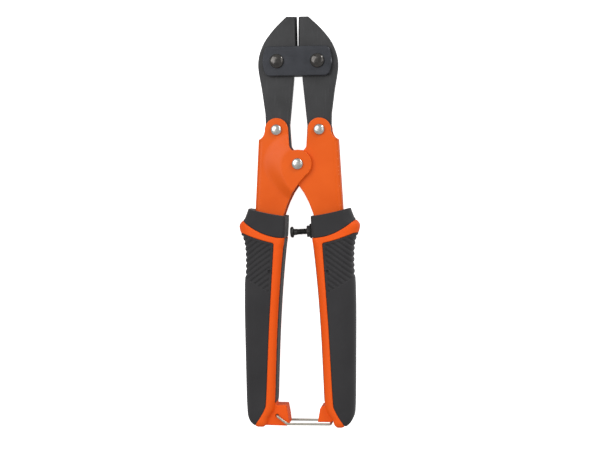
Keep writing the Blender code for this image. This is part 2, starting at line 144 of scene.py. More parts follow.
# Rivets: shank radius, then the head's radius, the height of its base and the height of its crown
LINK_SHANK = 2.4
JAW_SHANK = 1.9
CENTER_SHANK = 2.2
LINK_HEAD = (3.6, PLATE_OUT + GAP, 7.4)
JAW_HEAD = (2.8, FORK_OUT + GAP, 6.9)
CENTER_HEAD = (2.9, LOBE_OUT + GAP, 9.0)

# Stop screw: its axis crosses STOP_X at STOP_Y
STOP_X = 5.0
STOP_Y = -34.6
STOP_TILT = math.radians(3.4)
STOP_HEAD_X = -4.9
STOP_NUT_X = 3.8
STOP_BLOCK_X = 12.6
STOP_END_X = 17.6
STOP_ROOM_X = 4
STOP_ROOM_R = 1.9
STOP_ROOM_LENGTH = 12
SCREW_R = 1.62
THREAD_PITCH = 0.7
THREAD_DEPTH = 0.32
THREAD_START = 3.0
THREAD_END = 20.0
THREAD_FADE = 0.8

# Latch bail
WIRE_R = 0.62
WIRE_BEND = 1.2
BAIL_PIVOT = (-12.0, -129.4)
BAIL_KNEE = (-6.6, -133.5)
BAIL_END = (15.6, -133.4)
BAIL_Z = 6.5
BAIL_TIP_Z = 3.4


# Materials


class Nodes:
    """A short way to build a material's nodes around its Principled shader."""

    def __init__(self, name, color, roughness, metallic):
        self.material = bpy.data.materials.new(name)
        self.material.use_nodes = True
        self.tree = self.material.node_tree
        self.shader = self.tree.nodes["Principled BSDF"]
        self.shader.inputs["Base Color"].default_value = (*color, 1)
        self.shader.inputs["Roughness"].default_value = roughness
        self.shader.inputs["Metallic"].default_value = metallic
        self.place = self.add("ShaderNodeTexCoord").outputs["Object"]

    def add(self, kind, **values):
        node = self.tree.nodes.new(kind)
        for key, value in values.items():
            setattr(node, key, value)
        return node

    def link(self, output, target):
        self.tree.links.new(output, target)

    def noise(self, scale, detail, roughness=0.5, stretch=None):
        """Noise with this many cells to a metre, drawn out along an axis by the stretch."""
        node = self.add("ShaderNodeTexNoise")
        node.inputs["Scale"].default_value = scale
        node.inputs["Detail"].default_value = detail
        node.inputs["Roughness"].default_value = roughness
        source = self.place
        if stretch:
            mapping = self.add("ShaderNodeMapping")
            mapping.inputs["Scale"].default_value = stretch
            self.link(source, mapping.inputs["Vector"])
            source = mapping.outputs["Vector"]
        self.link(source, node.inputs["Vector"])
        return node.outputs["Fac"]

    def remap(self, value, low, high, new_low, new_high):
        node = self.add("ShaderNodeMapRange")
        self.link(value, node.inputs["Value"])
        limits = {"From Min": low, "From Max": high, "To Min": new_low, "To Max": new_high}
        for key, number in limits.items():
            node.inputs[key].default_value = number
        return node.outputs["Result"]

    def mix(self, share, first, second):
        """A colour mix. first and second are colours or a socket."""
        node = self.add("ShaderNodeMix", data_type="RGBA")
        self.link(share, node.inputs["Factor"])
        for key, value in (("A", first), ("B", second)):
            sockets = [s for s in node.inputs if s.name == key and s.type == "RGBA"]
            if isinstance(value, bpy.types.NodeSocket):
                self.link(value, sockets[0])
            else:
                sockets[0].default_value = (*value, 1)
        return [s for s in node.outputs if s.type == "RGBA"][0]

    def edges(self, low, high):
        """0 on flat and hollow places, rising to 1 on sharp edges."""
        pointiness = self.add("ShaderNodeNewGeometry").outputs["Pointiness"]
        return self.remap(pointiness, low, high, 0.0, 1.0)

    def bump(self, heights):
        """Bumps from (height socket, depth in metres, strength), one after the other."""
        last = None
        for height, depth, strength in heights:
            node = self.add("ShaderNodeBump")
            node.inputs["Strength"].default_value = strength
            node.inputs["Distance"].default_value = depth
            self.link(height, node.inputs["Height"])
            if last:
                self.link(last.outputs["Normal"], node.inputs["Normal"])
            last = node
        self.link(last.outputs["Normal"], self.shader.inputs["Normal"])


def jaw_steel():
    """Black oxide on forged steel: fine grit, faint grinding lines and a painted highlight on the sharp
    edges.
    """
    n = Nodes("jaw_steel", (0.07, 0.07, 0.072), 0.5, 0.55)
    n.shader.inputs["Specular IOR Level"].default_value = 0.5
    patches = n.noise(90, 4)
    grain = n.noise(2600, 2)
    lines = n.noise(1500, 2, stretch=(1.0, 0.08, 1.0))
    color = n.mix(n.remap(patches, 0.3, 0.7, 0, 1), (0.036, 0.036, 0.037), (0.048, 0.048, 0.05))
    color = n.mix(n.remap(lines, 0.55, 0.8, 0, 0.3), color, (0.075, 0.075, 0.078))
    # Painted highlight: sharp edges are made paler to stand in for light caught on them
    color = n.mix(n.edges(0.56, 0.7), color, (0.13, 0.13, 0.135))
    n.link(color, n.shader.inputs["Base Color"])
    n.link(n.remap(grain, 0.2, 0.8, 0.42, 0.58), n.shader.inputs["Roughness"])
    n.bump([(patches, 0.00006, 0.5), (grain, 0.00002, 0.6), (lines, 0.000015, 0.4)])
    return n.material


def plate_steel():
    """Blued steel strap, smoother than the jaws, with small scratches and a painted highlight on its edges.
    """
    n = Nodes("link_plate_steel", (0.05, 0.054, 0.064), 0.4, 0.7)
    patches = n.noise(140, 3)
    scratches = n.noise(900, 4, 0.6, stretch=(0.06, 1.6, 1.0))
    grain = n.noise(3200, 2)
    color = n.mix(n.remap(patches, 0.3, 0.7, 0, 1), (0.034, 0.036, 0.042), (0.046, 0.048, 0.056))
    color = n.mix(n.remap(scratches, 0.6, 0.85, 0, 0.6), color, (0.1, 0.104, 0.115))
    # Painted highlight: the strap's sharp edges are made paler to stand in for light caught on its rims
    color = n.mix(n.edges(0.53, 0.62), color, (0.2, 0.205, 0.22))
    n.link(color, n.shader.inputs["Base Color"])
    n.link(n.remap(patches, 0.25, 0.75, 0.33, 0.47), n.shader.inputs["Roughness"])
    n.bump([(patches, 0.00008, 0.5), (scratches, 0.00001, 0.5), (grain, 0.000012, 0.5)])
    return n.material


def metal(name, dark, light, roughness, metallic=1.0, wear=(0.3, 0.3, 0.3)):
    """Bare, plated or blackened metal: two tones in small patches, with a fine grain."""
    n = Nodes(name, light, roughness, metallic)
    patches = n.noise(600, 4)
    grain = n.noise(1800, 3)
    color = n.mix(n.remap(patches, 0.35, 0.65, 0, 1), dark, light)
    color = n.mix(n.edges(0.6, 0.8), color, wear)
    n.link(color, n.shader.inputs["Base Color"])
    n.link(n.remap(grain, 0.3, 0.7, roughness - 0.06, roughness + 0.08), n.shader.inputs["Roughness"])
    n.bump([(patches, 0.00004, 0.35), (grain, 0.00001, 0.5)])
    return n.material


def orange_paint():
    """Powder coat: orange peel, faint mottling, and a thin painted highlight on the folded edges."""
    n = Nodes("orange_paint", (0.77, 0.108, 0.006), 0.42, 0.0)
    n.shader.inputs["Specular IOR Level"].default_value = 0.2
    mottle = n.noise(60, 4)
    peel = n.noise(1300, 2)
    dust = n.noise(4200, 2)
    color = n.mix(n.remap(mottle, 0.3, 0.7, 0, 1), (0.75, 0.1, 0.004), (0.81, 0.118, 0.008))
    # Painted highlight: the folded edges are made paler orange to stand in for light caught on them
    color = n.mix(n.edges(0.53, 0.64), color, (0.86, 0.24, 0.09))
    n.link(color, n.shader.inputs["Base Color"])
    n.link(n.remap(peel, 0.25, 0.75, 0.3, 0.44), n.shader.inputs["Roughness"])
    n.bump([(mottle, 0.00008, 0.3), (peel, 0.00003, 0.45), (dust, 0.000006, 0.4)])
    return n.material


def orange_plastic():
    """Moulded plastic with a satin spark-eroded grain."""
    n = Nodes("orange_plastic", (0.88, 0.102, 0.006), 0.5, 0.0)
    n.shader.inputs["Specular IOR Level"].default_value = 0.18
    flow = n.noise(50, 3, stretch=(1.0, 0.3, 1.0))
    grain = n.noise(3000, 3)
    color = n.mix(n.remap(flow, 0.3, 0.7, 0, 1), (0.86, 0.095, 0.004), (0.92, 0.115, 0.007))
    n.link(color, n.shader.inputs["Base Color"])
    n.link(n.remap(grain, 0.25, 0.75, 0.44, 0.6), n.shader.inputs["Roughness"])
    n.bump([(flow, 0.00005, 0.25), (grain, 0.000014, 0.6)])
    return n.material


def black_rubber():
    """Soft-touch rubber: matte dark grey with a stippled skin and a faint sheen."""
    n = Nodes("black_rubber", (0.027, 0.026, 0.028), 0.72, 0.0)
    n.shader.inputs["Specular IOR Level"].default_value = 0.3
    n.shader.inputs["Sheen Weight"].default_value = 0.12
    n.shader.inputs["Sheen Roughness"].default_value = 0.5
    patches = n.noise(45, 4)
    stipple = n.add("ShaderNodeTexVoronoi")
    stipple.inputs["Scale"].default_value = 2200
    n.link(n.place, stipple.inputs["Vector"])
    grain = n.noise(5200, 2)
    color = n.mix(n.remap(patches, 0.3, 0.7, 0, 1), (0.022, 0.021, 0.023), (0.031, 0.03, 0.032))
    n.link(color, n.shader.inputs["Base Color"])
    n.link(n.remap(grain, 0.25, 0.75, 0.64, 0.82), n.shader.inputs["Roughness"])
    n.bump([(stipple.outputs["Distance"], 0.00004, 0.5), (grain, 0.00001, 0.5)])
    return n.material


MATERIALS = {
    "jaw_steel": jaw_steel(),
    "link_plate_steel": plate_steel(),
    "black_rivet": metal("black_rivet", (0.06, 0.056, 0.053), (0.095, 0.09, 0.085), 0.17, metallic=0.85),
    "zinc_rivet": metal("zinc_rivet", (0.5, 0.5, 0.47), (0.7, 0.7, 0.67), 0.24, wear=(0.85, 0.85, 0.83)),
    "orange_paint": orange_paint(),
    "orange_plastic": orange_plastic(),
    "black_rubber": black_rubber(),
    "bail_wire": metal("bail_wire", (0.43, 0.41, 0.35), (0.52, 0.5, 0.43), 0.4, metallic=0.8),
    "spring_steel": metal("spring_steel", (0.22, 0.22, 0.22), (0.34, 0.34, 0.33), 0.35),
    "black_screw": metal("black_screw", (0.03, 0.03, 0.029), (0.05, 0.05, 0.048), 0.4, metallic=0.6,
                         wear=(0.16, 0.16, 0.155)),
}


# Outlines


def arc(center, radius, start, end, steps):
    """Points on an arc, with its angles in degrees."""
    points = []
    for step in range(steps + 1):
        angle = math.radians(start + (end - start) * step / steps)
        points.append((center[0] + radius * math.cos(angle), center[1] + radius * math.sin(angle)))
    return points


def circle(center, radius, steps=48):
    return arc(center, radius, 0, 360, steps)[:-1]


def smooth(points, steps):
    """A smooth curve through the points (Catmull-Rom), with this many steps between neighbours."""
    ends = [points[0], *points, points[-1]]
    curve = []
    for a, b, c, d in zip(ends, ends[1:], ends[2:], ends[3:]):
        for step in range(steps):
            t = step / steps
            curve.append(
                tuple(
                    0.5 * (2 * q + (r - p) * t + (2 * p - 5 * q + 4 * r - s) * t**2
                           + (3 * q - p - 3 * r + s) * t**3)
                    for p, q, r, s in zip(a, b, c, d)
                )
            )
    return [*curve, points[-1]]


def along(table, y):
    """The smooth profile through (y, value) points at y, without overshoot between them."""
    if y >= table[0][0]:
        return table[0][1]
    if y <= table[-1][0]:
        return table[-1][1]
    slopes = [(b[1] - a[1]) / (b[0] - a[0]) for a, b in zip(table, table[1:])]
    tangents = [slopes[0]]
    for before, after in zip(slopes, slopes[1:]):
        tangents.append(0 if before * after <= 0 else 2 * before * after / (before + after))
    tangents.append(slopes[-1])
    for i, ((y0, v0), (y1, v1)) in enumerate(zip(table, table[1:])):
        if y >= y1:
            break
    span = y1 - y0
    t = (y - y0) / span
    lift = (2 * t**3 - 3 * t**2 + 1) * v0 + (3 * t**2 - 2 * t**3) * v1
    return lift + span * ((t**3 - 2 * t**2 + t) * tangents[i] + (t**3 - t**2) * tangents[i + 1])


def area(loop):
    return sum(a[0] * b[1] - b[0] * a[1] for a, b in zip(loop, [*loop[1:], loop[0]])) / 2


# The smallest divisor at a corner, which keeps sharp corners from running away
MITRE_LIMIT = 0.35


def drawn_in(loop, distance):
    """The loop moved to its left by the distance: inward on an anticlockwise outline."""
    moved = []
    for before, point, after in zip([loop[-1], *loop], loop, [*loop[1:], loop[0]]):
        first = Vector((before[1] - point[1], point[0] - before[0])).normalized()
        second = Vector((point[1] - after[1], after[0] - point[0])).normalized()
        both = first + second
        scale = distance / max(MITRE_LIMIT, 1 + first.dot(second))
        moved.append((point[0] + both.x * scale, point[1] + both.y * scale))
    return moved


def turned_side(loop, side):
    """A right-hand outline on the given side."""
    return [(SIDES[side] * x, y) for x, y in loop]


# Solids


def to_mesh(name, bm):
    """The mesh of a bmesh that was drawn in millimetres from the centre rivet."""
    bmesh.ops.recalc_face_normals(bm, faces=bm.faces)
    bm.transform(Matrix.Translation(PIVOT) @ Matrix.Scale(MM, 4))
    mesh = bpy.data.meshes.new(name)
    bm.to_mesh(mesh)
    bm.free()
    return mesh


def as_object(name, mesh):
    made = bpy.data.objects.new(name, mesh)
    bpy.context.scene.collection.objects.link(made)
    return made


def skinned(name, stations, plans):
    """A closed solid through stations of loops. The first loop is the outline, the rest are holes."""
    bm = bmesh.new()
    rows = [[[bm.verts.new(Vector(p)) for p in loop] for loop in loops] for loops in stations]
    for row, following in zip(rows, rows[1:]):
        for loop, other in zip(row, following):
            for i in range(len(loop)):
                j = (i + 1) % len(loop)
                bm.faces.new((loop[i], loop[j], other[j], other[i]))
    for row, plan in ((rows[0], plans[0]), (rows[-1], plans[1])):
        points = [vert for loop in row for vert in loop]
        for triangle in tessellate_polygon([[Vector((*p, 0)) for p in loop] for loop in plan]):
            bm.faces.new([points[i] for i in triangle])
    return as_object(name, to_mesh(name, bm))


def layered(name, layers):
    """A flat solid through layers of (z, outline, holes), from the lowest up."""
    stations = [[[(x, y, z) for x, y in loop] for loop in [outline, *holes]] for z, outline, holes in layers]
    plans = [[layers[0][1], *layers[0][2]], [layers[-1][1], *layers[-1][2]]]
    return skinned(name, stations, plans)


def rounded_layers(outline, holes, low, high, edge, steps):
    """Layers of a plate whose upper and lower edges are rounded."""
    outline = outline if area(outline) > 0 else outline[::-1]
    holes = [hole[::-1] if area(hole) > 0 else hole for hole in holes]
    layers = []
    for step in range(steps + 1):
        angle = math.pi / 2 * step / steps
        inset = edge * (1 - math.sin(angle))
        rise = edge * (1 - math.cos(angle))
        layers.append((low + rise, drawn_in(outline, inset), [drawn_in(hole, inset) for hole in holes]))
    upper = [(high + low - z, loop, inner) for z, loop, inner in reversed(layers)]
    return layers + upper


def prism(name, outline, low, high):
    return layered(name, [(low, outline, []), (high, outline, [])])


def turned(name, profile, center, axis=(0, 0, 1), steps=64, pitch=0.0):
    """A solid of revolution about an axis through the centre. The profile holds (radius, height), and
    a pitch cuts a thread into it."""
    aim = Vector(axis).normalized()
    across = aim.orthogonal().normalized()
    other = aim.cross(across)
    bm = bmesh.new()
    rows = []
    for radius, height in profile:
        if radius == 0:
            rows.append([bm.verts.new(Vector(center) + aim * height)])
            continue
        row = []
        for step in range(steps):
            angle = 2 * math.pi * step / steps
            wide = radius
            if pitch:
                wide += thread_depth(height, angle, pitch)
            out = across * math.cos(angle) + other * math.sin(angle)
            row.append(bm.verts.new(Vector(center) + aim * height + out * wide))
        rows.append(row)
    pairs = list(zip(rows, rows[1:]))
    if profile[0][0] > 0:
        pairs.append((rows[-1], rows[0]))
    for low, high in pairs:
        for i in range(steps):
            j = (i + 1) % steps
            corners = [low[i % len(low)], low[j % len(low)], high[j % len(high)], high[i % len(high)]]
            bm.faces.new(list(dict.fromkeys(corners)))
    return as_object(name, to_mesh(name, bm))


def drill(name, radius, half_length, center, steps=64):
    """A round cutter along z."""
    profile = [(0, -half_length), (radius, -half_length), (radius, half_length), (0, half_length)]
    return turned(name, profile, center, steps=steps)


def thread_depth(height, angle, pitch):
    """What the thread adds to the radius: nothing at its crest or off the threaded stretch, else less."""
    if not THREAD_START < height < THREAD_END:
        return 0.0
    phase = (height / pitch + angle / (2 * math.pi)) % 1.0
    fade = min(1.0, (height - THREAD_START) / THREAD_FADE)
    return -THREAD_DEPTH * abs(2 * phase - 1) * fade


# Radius of a wire's last ring, as a share of its radius
WIRE_END = 0.75


def tube(name, path, radius, sides):
    """A round wire along a path, a little thinner at its ends."""
    bm = bmesh.new()
    points = [Vector(p) for p in path]
    tangents = [(b - a).normalized() for a, b in zip([points[0], *points], [*points[1:], points[-1]])]
    tangents[0] = (points[1] - points[0]).normalized()
    across = tangents[0].orthogonal().normalized()
    rows = []
    for index, (point, tangent) in enumerate(zip(points, tangents)):
        across = (across - tangent * across.dot(tangent)).normalized()
        other = tangent.cross(across)
        end = index in (0, len(points) - 1)
        size = radius * (WIRE_END if end else 1.0)
        row = []
        for step in range(sides):
            angle = 2 * math.pi * step / sides
            row.append(bm.verts.new(point + size * (across * math.cos(angle) + other * math.sin(angle))))
        rows.append(row)
    for row, following in zip(rows, rows[1:]):
        for i in range(sides):
            j = (i + 1) % sides
            bm.faces.new((row[i], row[j], following[j], following[i]))
    bm.faces.new(rows[0])
    bm.faces.new(rows[-1])
    return as_object(name, to_mesh(name, bm))


def carve(target, operation, *others):
    """Boolean steps between closed solids. The other solids are used up."""
    for other in others:
        step = target.modifiers.new(operation, "BOOLEAN")
        step.operation = operation
        step.solver = "MANIFOLD"
        step.object = other
    settle(target)
    for other in others:
        bpy.data.objects.remove(other, do_unlink=True)


def settle(target):
    """Replaces the object's mesh with what its modifiers make of it."""
    bpy.context.view_layer.update()
    graph = bpy.context.evaluated_depsgraph_get()
    made = bpy.data.meshes.new_from_object(target.evaluated_get(graph))
    target.modifiers.clear()
    old = target.data
    target.data = made
    bpy.data.meshes.remove(old)


def soften(target, skin):
    """One even skin round the solid, with its edges rounded off."""
    voxel, rounds = skin
    remesh = target.modifiers.new("skin", "REMESH")
    remesh.mode = "VOXEL"
    remesh.voxel_size = voxel * MM
    ease = target.modifiers.new("ease", "SMOOTH")
    ease.factor = 0.5
    ease.iterations = rounds
    settle(target)


def dress(piece, slot, node, sharp=None):
    """Gives the piece its material and its shading, and hides the CAD node that it stands for."""
    piece.data.materials.clear()
    piece.data.materials.append(MATERIALS[slot])
    piece.data.shade_smooth()
    if sharp:
        piece.data.set_sharp_from_angle(angle=math.radians(sharp))
    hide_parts(node)


def finish_piece(piece, body, slot, node, sharp=None):
    """Dresses the piece and puts it on its body."""
    dress(piece, slot, node, sharp)
    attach(piece, body)


def flat_shading(piece):
    """Keeps flat faces flat beside their rounded edges."""
    weigh = piece.modifiers.new("flat_faces", "WEIGHTED_NORMAL")
    weigh.keep_sharp = True
    weigh.weight = 100


# Jaws and link plates


# Cutting edge: how far the bevel draws back at the faces, and half the thickness of its edge
CUTTING_BEVEL = 0.9
KNIFE_HALF = 0.12

# Half the gap between the two jaws' heels
HEEL_GAP = 0.12

# Eased edge of a jaw's face: depth below the face and inset
JAW_EASE = ((0, 0.32), (0.09, 0.1), (0.32, 0.0))


def jaw_outline(bevel):
    """The right jaw's outline. The bevel draws the cutting edge back."""
    back = [(5.7, TIP_Y), (12.6, 68.2), (18.0, 60.4), (20.4, 50.8), (18.5, 37.4), (16.9, 25.5)]
    outer = smooth(back, 10)
    tail = smooth([(16.6, 13.5), (14.6, 8.8), (11.0, 7.1)], 5)
    tail += [(5.4, 7.0), (4.4, 7.3), (4.0, 8.2)]
    waist = smooth([(4.7, 19.7), (3.4, 32.8), (2.4, 43.3)], 4)
    heel = arc((LINK.x, LINK.y), LINK.x - HEEL_GAP, 218, 180, 12)
    edge = [(0.11 + bevel, 56.0), (0.4 + bevel, TIP_Y)]
    return [*outer, *tail, *waist, *heel, *edge]


def build_jaw(side):
    """A forged jaw with eased edges and a ground cutting bevel."""
    face = turned_side(jaw_outline(CUTTING_BEVEL), side)
    knife = turned_side(jaw_outline(0.0), side)
    if area(face) < 0:
        face, knife = face[::-1], knife[::-1]
    holes = []
    for center, radius in ((LINK, JAW_LINK_BORE), (EAR, JAW_EAR_BORE)):
        holes.append(circle((SIDES[side] * center.x, center.y), radius)[::-1])
    lower = [(depth - JAW_HALF, drawn_in(face, inset), holes) for depth, inset in JAW_EASE]
    lower.append((-KNIFE_HALF, knife, holes))
    upper = [(-z, outline, inner) for z, outline, inner in reversed(lower)]
    piece = layered(side + "_jaw_forging", lower + upper)
    finish_piece(piece, side + "_jaw_body", "jaw_steel", side + "_jaw", sharp=32)
    flat_shading(piece)


def strap_outline():
    """A strap whose ends are shallow arcs between small round corners."""
    reach = 17.8
    corner_x = 15.9
    half_height = 7.6
    corner = 1.2
    bulge = ((corner_x - reach) ** 2 + half_height**2) / (2 * (reach - corner_x))
    swing = math.degrees(math.asin((half_height - corner) / bulge))
    end = arc((reach - bulge, LINK.y), bulge, -swing, swing, 14)
    foot = (corner_x - corner, LINK.y - half_height)
    low_corner = smooth([foot, (corner_x - 0.1, LINK.y - 7.0), end[0]], 4)
    high_corner = [(x, 2 * LINK.y - y) for x, y in reversed(low_corner)]
    right = [*low_corner, *end[1:-1], *high_corner]
    return right + [(-x, y) for x, y in reversed(right)]


STRAP_EDGE_ROUND = 0.5


def build_link_plates():
    """The two straps, with rounded edges."""
    holes = [circle((sign * LINK.x, LINK.y), STRAP_BORE) for sign in SIDES.values()]
    for face, low, high in (("front", FORK_IN, PLATE_OUT), ("back", -PLATE_OUT, -FORK_IN)):
        layers = rounded_layers(strap_outline(), holes, low, high, STRAP_EDGE_ROUND, 5)
        piece = layered(face + "_strap", layers)
        finish_piece(piece, "link", "link_plate_steel", face + "_link_plate", sharp=32)
        flat_shading(piece)


# A rivet's head: the shares of its height in its plain rim and in its dome, and the dome's powers
RIM_SHARE = 0.22
DOME_SHARE = 0.78
CROWN_POWER = 0.92
WIDTH_POWER = 0.86
DOME_STEPS = 12


def both_ends(upper):
    """A profile with the upper half mirrored below the mid-plane."""
    return [(size, -height) for size, height in reversed(upper)] + upper


def rivet_profile(head, shank):
    """A shank with a formed dome at each end, a little flattened at its crown."""
    radius, base, crown = head
    rise = crown - base
    rim = base + RIM_SHARE * rise
    upper = [(shank, base), (radius - 0.25, base), (radius - 0.06, base + 0.06), (radius, rim)]
    for step in range(1, DOME_STEPS):
        angle = math.radians(90 * step / DOME_STEPS)
        height = rim + DOME_SHARE * rise * math.sin(angle) ** CROWN_POWER
        upper.append((radius * math.cos(angle) ** WIDTH_POWER, height))
    upper.append((0, crown))
    return both_ends(upper)


def build_rivets():
    link_rivet = rivet_profile(LINK_HEAD, LINK_SHANK)
    jaw_rivet = rivet_profile(JAW_HEAD, JAW_SHANK)
    for side, sign in SIDES.items():
        piece = turned(side + "_link_rivet_dome", link_rivet, (sign * LINK.x, LINK.y, 0))
        finish_piece(piece, "link", "black_rivet", side + "_link_rivet", sharp=50)
        piece = turned(side + "_jaw_rivet_dome", jaw_rivet, (sign * EAR.x, EAR.y, 0))
        finish_piece(piece, side + "_handle", "zinc_rivet", side + "_jaw_rivet", sharp=50)
    piece = turned("center_rivet_dome", rivet_profile(CENTER_HEAD, CENTER_SHANK), (0, 0, 0))
    finish_piece(piece, "left_handle", "zinc_rivet", "center_pivot_rivet", sharp=50)


def build_spacer():
    """The bush round the centre rivet, with its edges chamfered."""
    ring = both_ends([(3.6, 2.9), (3.5, 3.0), (2.45, 3.0), (2.35, 2.9)])
    piece = turned("center_bush", ring, (0, 0, 0), steps=48)
    finish_piece(piece, "left_handle", "zinc_rivet", "center_spacer", sharp=30)


def build_spring():
    """The torsion spring: a coil round the bush and a leg down each handle."""
    turns = 3.5
    coil_r = 4.7
    half = 2.3
    wire_r = 0.52
    steps = round(turns * 40)
    coil = []
    for step in range(steps + 1):
        share = step / steps
        angle = math.pi + 2 * math.pi * turns * share
        coil.append((coil_r * math.cos(angle), coil_r * math.sin(angle), half * (1 - 2 * share)))
    leg = smooth([(x, y, half) for x, y in ((-13.0, -24.0), (-10.2, -17.3), (-7.4, -10.5), (-5.1, -3.6))], 6)
    other = [(-x, y, -z) for x, y, z in reversed(leg)]
    piece = tube("torsion_spring", leg + coil[1:-1] + other, wire_r, 14)
    dress(piece, "spring_steel", "opening_spring")
    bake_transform(piece)


# Handle frames, drawn for the right side, whose raised lobe is at the back


FRAME_FOOT_Y = -40.0
SHOULDER = (20.5, 12.4)
FLANGE_OUTER = [(23.0, FRAME_FOOT_Y), (22.4, -21.5), SHOULDER]
FLANGE_INNER = [(-0.6, -9.8), (3.0, -15.0), (5.5, -20.0), (7.7, -26.0), (12.0, -38.0), (12.2, FRAME_FOOT_Y)]

# The ramp of the raised lobe, round the centre rivet: direction in degrees, and the distance from the
# rivet of the ramp's foot and of its crest
RAMP_FOOT = [(63, 17.0), (0, 18.6), (-36, 17.2), (-64, 18.0), (-76, 19.6)]
RAMP_CREST = [(63, 7.3), (0, 7.5), (-36, 9.0), (-64, 11.6), (-76, 13.2)]

# Beyond these directions, in degrees, the flange is raised all over
LOBE_SIDE = (90, -100)

# How far the web runs into the flanges, and how far below a flange's inner face it still takes part
WEB_OVERLAP = 1.4
FLANGE_MARGIN = 0.6


def ear_and_slot():
    """The shoulder, the ear round the jaw rivet and the side of the slot between the ears."""
    shoulder = smooth([SHOULDER, (18.9, 13.2), (17.7, 14.7), (17.15, 16.4)], 6)
    slot = smooth([(4.95, 16.4), (4.5, 11.0), (4.05, 8.4), (2.6, 6.75)], 5)
    return shoulder[1:-1] + arc((EAR.x, EAR.y), EAR_R, -6, 176, 36) + slot[1:-1]


def flange_outline():
    """One flange with its ear and lobe, up to where the web's bend begins."""
    outer = [(x - FOLD_R, y) for x, y in FLANGE_OUTER[:2]]
    top = [(SHOULDER[0] - FOLD_R, 11.4), (SHOULDER[0] - 0.35 * FOLD_R, 12.2)]
    return [*outer, *top, *ear_and_slot(), *arc((0, 0), LOBE_R, 69, 235, 48), *FLANGE_INNER]


def fold_section(outer):
    """The folded web with its two round bends, as an outline in x and z."""
    height = FORK_OUT
    reach = outer - FOLD_R - WEB_OVERLAP
    inner_r = FOLD_R - SHEET + ROOM_GAP
    inner = outer - SHEET
    section = [(reach, height)]
    section += arc((outer - FOLD_R, height - FOLD_R), FOLD_R, 90, 0, 10)
    section += arc((outer - FOLD_R, FOLD_R - height), FOLD_R, 0, -90, 10)
    section += [(reach, -height), (reach, SHEET - height)]
    section += arc((inner - inner_r, SHEET - height + inner_r), inner_r, -90, 0, 4)
    section += arc((inner - inner_r, height - SHEET - inner_r), inner_r, 0, 90, 4)
    section.append((reach, height - SHEET))
    return section


def raised_share(x, y):
    """How far a point of the raised flange stands up: 0 on the flange, 1 on the lobe."""
    direction = math.degrees(math.atan2(y, x))
    if direction > LOBE_SIDE[0] or direction < LOBE_SIDE[1]:
        return 1.0
    foot = along(RAMP_FOOT, direction)
    crest = along(RAMP_CREST, direction)
    share = max(0.0, min(1.0, (foot - math.hypot(x, y)) / (foot - crest)))
    return share * share * (3 - 2 * share)


def shift_vertices(mesh, shift):
    """Moves the vertices by what shift(x, y, z, normal) gives, in millimetres, or leaves them."""
    normals = [vertex.normal.copy() for vertex in mesh.vertices]
    for vertex, normal in zip(mesh.vertices, normals):
        moved = shift(*from_pivot(vertex.co), normal)
        if moved:
            vertex.co += moved * MM
    mesh.update()


def build_handle_frame(side):
    """Folded sheet steel: two flanges, the bent web between them and one raised lobe."""
    sign = SIDES[side]
    outline = turned_side(flange_outline(), side)
    piece = prism(side + "_handle_stamping", outline, FORK_IN, FORK_OUT)
    back = prism("back_flange", outline, -FORK_OUT, -FORK_IN)
    levels = FLANGE_OUTER[::-1]
    sections = [turned_side(fold_section(outer), side) for outer, _ in levels]
    stations = [[[(x, y, z) for x, z in section]] for (_, y), section in zip(levels, sections)]
    web = skinned("web", stations, [[sections[0]], [sections[-1]]])
    carve(piece, "UNION", web, back)
    center_bore = drill("center_bore", CENTER_BORE, THROUGH, (0, 0, 0))
    ear_bore = drill("ear_bore", EAR_BORE, THROUGH, (sign * EAR.x, EAR.y, 0))
    carve(piece, "DIFFERENCE", center_bore, ear_bore)
    soften(piece, SHEET_SKIN)

    def raise_lobe(x, y, z, _):
        """The left frame's lobe is raised in front, and the right frame's at the back."""
        if -sign * z < FORK_IN - FLANGE_MARGIN:
            return None
        return Vector((0, 0, -sign * (LOBE_IN - FORK_IN) * raised_share(sign * x, y)))

    shift_vertices(piece.data, raise_lobe)
    finish_piece(piece, side + "_handle", "orange_paint", side + "_handle_frame")


# Grips, drawn for the right side


# Profiles of a grip along y: its outer and inner sides, the inner corners' radius and half its height
OUTER = [(-22, 25.9), (-26.6, 27.6), (-28.3, 28.4), (-29.2, 29.4), (-30.2, 30.5), (-31.2, 30.9),
         (-32.2, 31.0), (-33.2, 30.8), (-34.3, 30.5), (-36.9, 29.7), (-39.4, 28.8), (-44.5, 28.1),
         (-50, 27.95), (-57, 28.2), (-62, 28.5), (-75, 28.65), (-100, 28.4), (-121, 28.1),
         (-127.5, 27.8), (-130.2, 27.2), (-132.2, 26.2), (-133.8, 24.6), (-135, 22.6)]
INNER = [(-22, 6.4), (-29.2, 6.55), (-39.4, 7.2), (-54.8, 8.7), (-70, 9.95), (-90, 11.15), (-111, 12.0),
         (-121, 12.4), (-125.6, 13.2), (-128.5, 14.9), (-130.4, 16.4), (-133.8, 17.7), (-135, 18.6)]
INNER_ROUND = [(-38.5, 2.2), (-43, 4.5)]
HEIGHT = [(-132.5, GRIP_HALF), (-134.2, GRIP_HALF - 0.6), (-135, GRIP_HALF - 1.6)]
OUTER_ROUND = 6.5

# A corner's radius shrinks by this share of the inset, and is at most a share of the grip's width
ROUND_SHARE = 0.6
INNER_LIMIT = 0.3
OUTER_LIMIT = 0.45


def grip_section(y, inset):
    """The right grip's section at y, a rectangle with round corners, drawn in by the inset."""
    inner = along(INNER, y) + inset
    outer = along(OUTER, y) - inset
    height = along(HEIGHT, y) - inset
    width = outer - inner
    small = min(along(INNER_ROUND, y) - ROUND_SHARE * inset, INNER_LIMIT * width)
    large = min(OUTER_ROUND - ROUND_SHARE * inset, OUTER_LIMIT * width)
    section = []
    for x, sz, radius, start in ((outer, 1, large, 0), (inner, 1, small, 90),
                                 (inner, -1, small, 180), (outer, -1, large, 270)):
        toward = -1 if x == outer else 1
        section += arc((x + toward * radius, sz * (height - radius)), radius, start, start + 90, 10)
    return section


